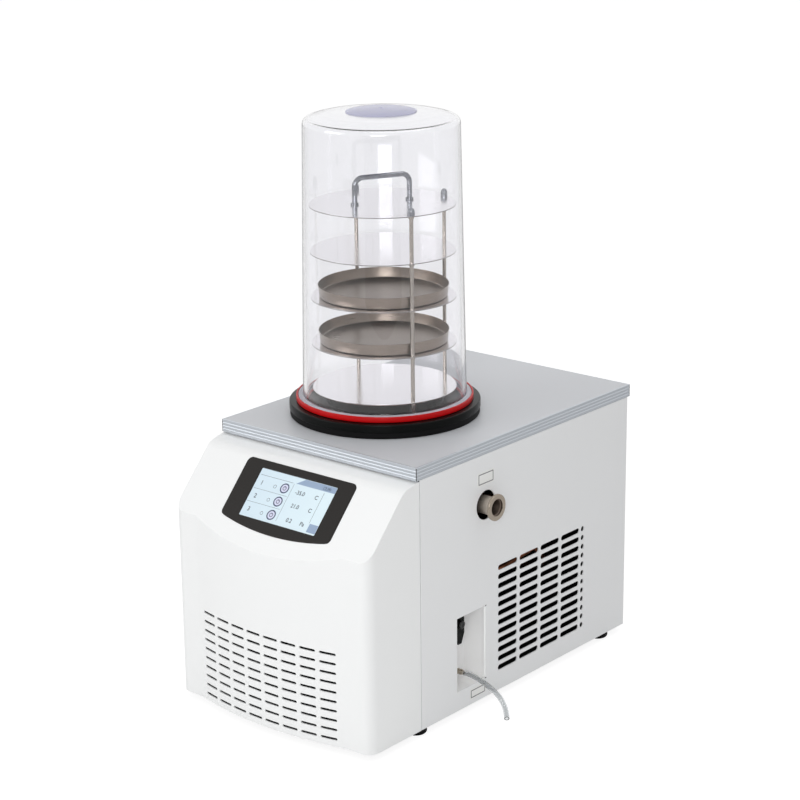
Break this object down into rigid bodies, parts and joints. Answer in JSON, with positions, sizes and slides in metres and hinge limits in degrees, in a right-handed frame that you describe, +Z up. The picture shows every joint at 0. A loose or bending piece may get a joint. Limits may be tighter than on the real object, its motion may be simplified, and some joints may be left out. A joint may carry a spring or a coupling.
{
  "type": "bench-top freeze dryer",
  "caption": "Bench-top freeze dryer: cabinet with cold trap, sloping touch-screen visor, vented panels, and a clear bell jar over a rack of shelves with trays.",
  "frame": {"origin": "middle of the base of the bounding box, at floor level, the drain hose left out", "axes": "+Z up; -Y towards the front, with the screen; +X towards the side with the suction port and the valves"},
  "size_m": [0.4606, 0.6644, 0.892],
  "materials": {
    "white_enamel": "satin white powder coat",
    "black_enamel": "satin black paint",
    "white_plastic": "satin white moulding",
    "grey_plate": "satin grey coated sheet",
    "aluminium": "brushed and ribbed",
    "galvanised": "galvanised sheet",
    "black_rubber": "matt",
    "black_plastic": "semi-gloss",
    "black_foam": "closed-cell foam",
    "red_silicone": "soft gloss",
    "clear_acrylic": "polished clear",
    "clear_hose": "translucent",
    "stainless": "satin to polished",
    "chrome": "polished",
    "brass": "turned",
    "copper": "drawn copper tube",
    "screen": "lit display behind a clear film",
    "circuit_board": "solder mask",
    "label_film": "blank printed film"
  },
  "bodies": {
    "cabinet": {"front_cover": "white_plastic", "screen_bezel": "black_plastic", "touch_screen": "screen", "display_board": "circuit_board", "base_pan": "galvanised", "front_rail": "galvanised", "left_panel": "white_enamel", "right_panel": "white_enamel", "rear_panel": "white_enamel", "foot_front_left": "black_rubber", "foot_front_right": "black_rubber", "foot_rear_left": "black_rubber", "foot_rear_right": "black_rubber", "front_trim": "aluminium", "right_trim": "aluminium", "rear_trim": "aluminium", "left_trim": "aluminium", "worktop": "grey_plate", "base_gasket": "black_rubber", "collar": "black_plastic", "seal_ring": "red_silicone", "bell_jar": "clear_acrylic", "cold_trap": "stainless", "evaporator_coil": "copper", "trap_insulation": "black_foam", "suction_port": "stainless", "rod_front": "stainless", "rod_right": "stainless", "rod_left": "stainless", "cap_nut_front": "chrome", "cap_nut_right": "chrome", "cap_nut_left": "chrome", "shelf_1": "stainless", "shelf_2": "stainless", "shelf_3": "stainless", "shelf_4": "stainless", "shelf_5": "stainless", "rack_handle": "chrome", "tray_1": "stainless", "tray_2": "stainless", "port_label": "label_film", "valve_label": "label_film", "valve_recess": "white_enamel", "vent_valve": "brass", "drain_barb": "brass", "drain_pipe": "copper", "drain_hose": "clear_hose", "condenser": "aluminium", "fan_shroud": "galvanised", "fan_motor": "black_plastic", "compressor": "black_enamel", "discharge_pipe": "copper", "suction_pipe": "copper", "liquid_line": "copper", "power_inlet": "black_plastic"},
    "vent_lever": {"vent_lever": "black_plastic", "lever_nut": "chrome"},
    "fan": {"fan_blade": "black_plastic"},
    "rocker": {"power_switch": "black_plastic"}
  },
  "joints": [
    {"name": "vent_lever_turn", "type": "hinge", "parent": "cabinet", "child": "vent_lever", "pos_m": [0.1615, -0.07755, 0.136], "axis": [1, 0, 0], "range_deg": [0, 90]},
    {"name": "fan_spin", "type": "hinge", "parent": "cabinet", "child": "fan", "pos_m": [-0.0105, -0.21575, 0.09], "axis": [0, 1, 0], "continuous": true},
    {"name": "rocker_tilt", "type": "hinge", "parent": "cabinet", "child": "rocker", "pos_m": [-0.1435, 0.32325, 0.091], "axis": [-1, 0, 0], "range_deg": [0, 14]}
  ]
}
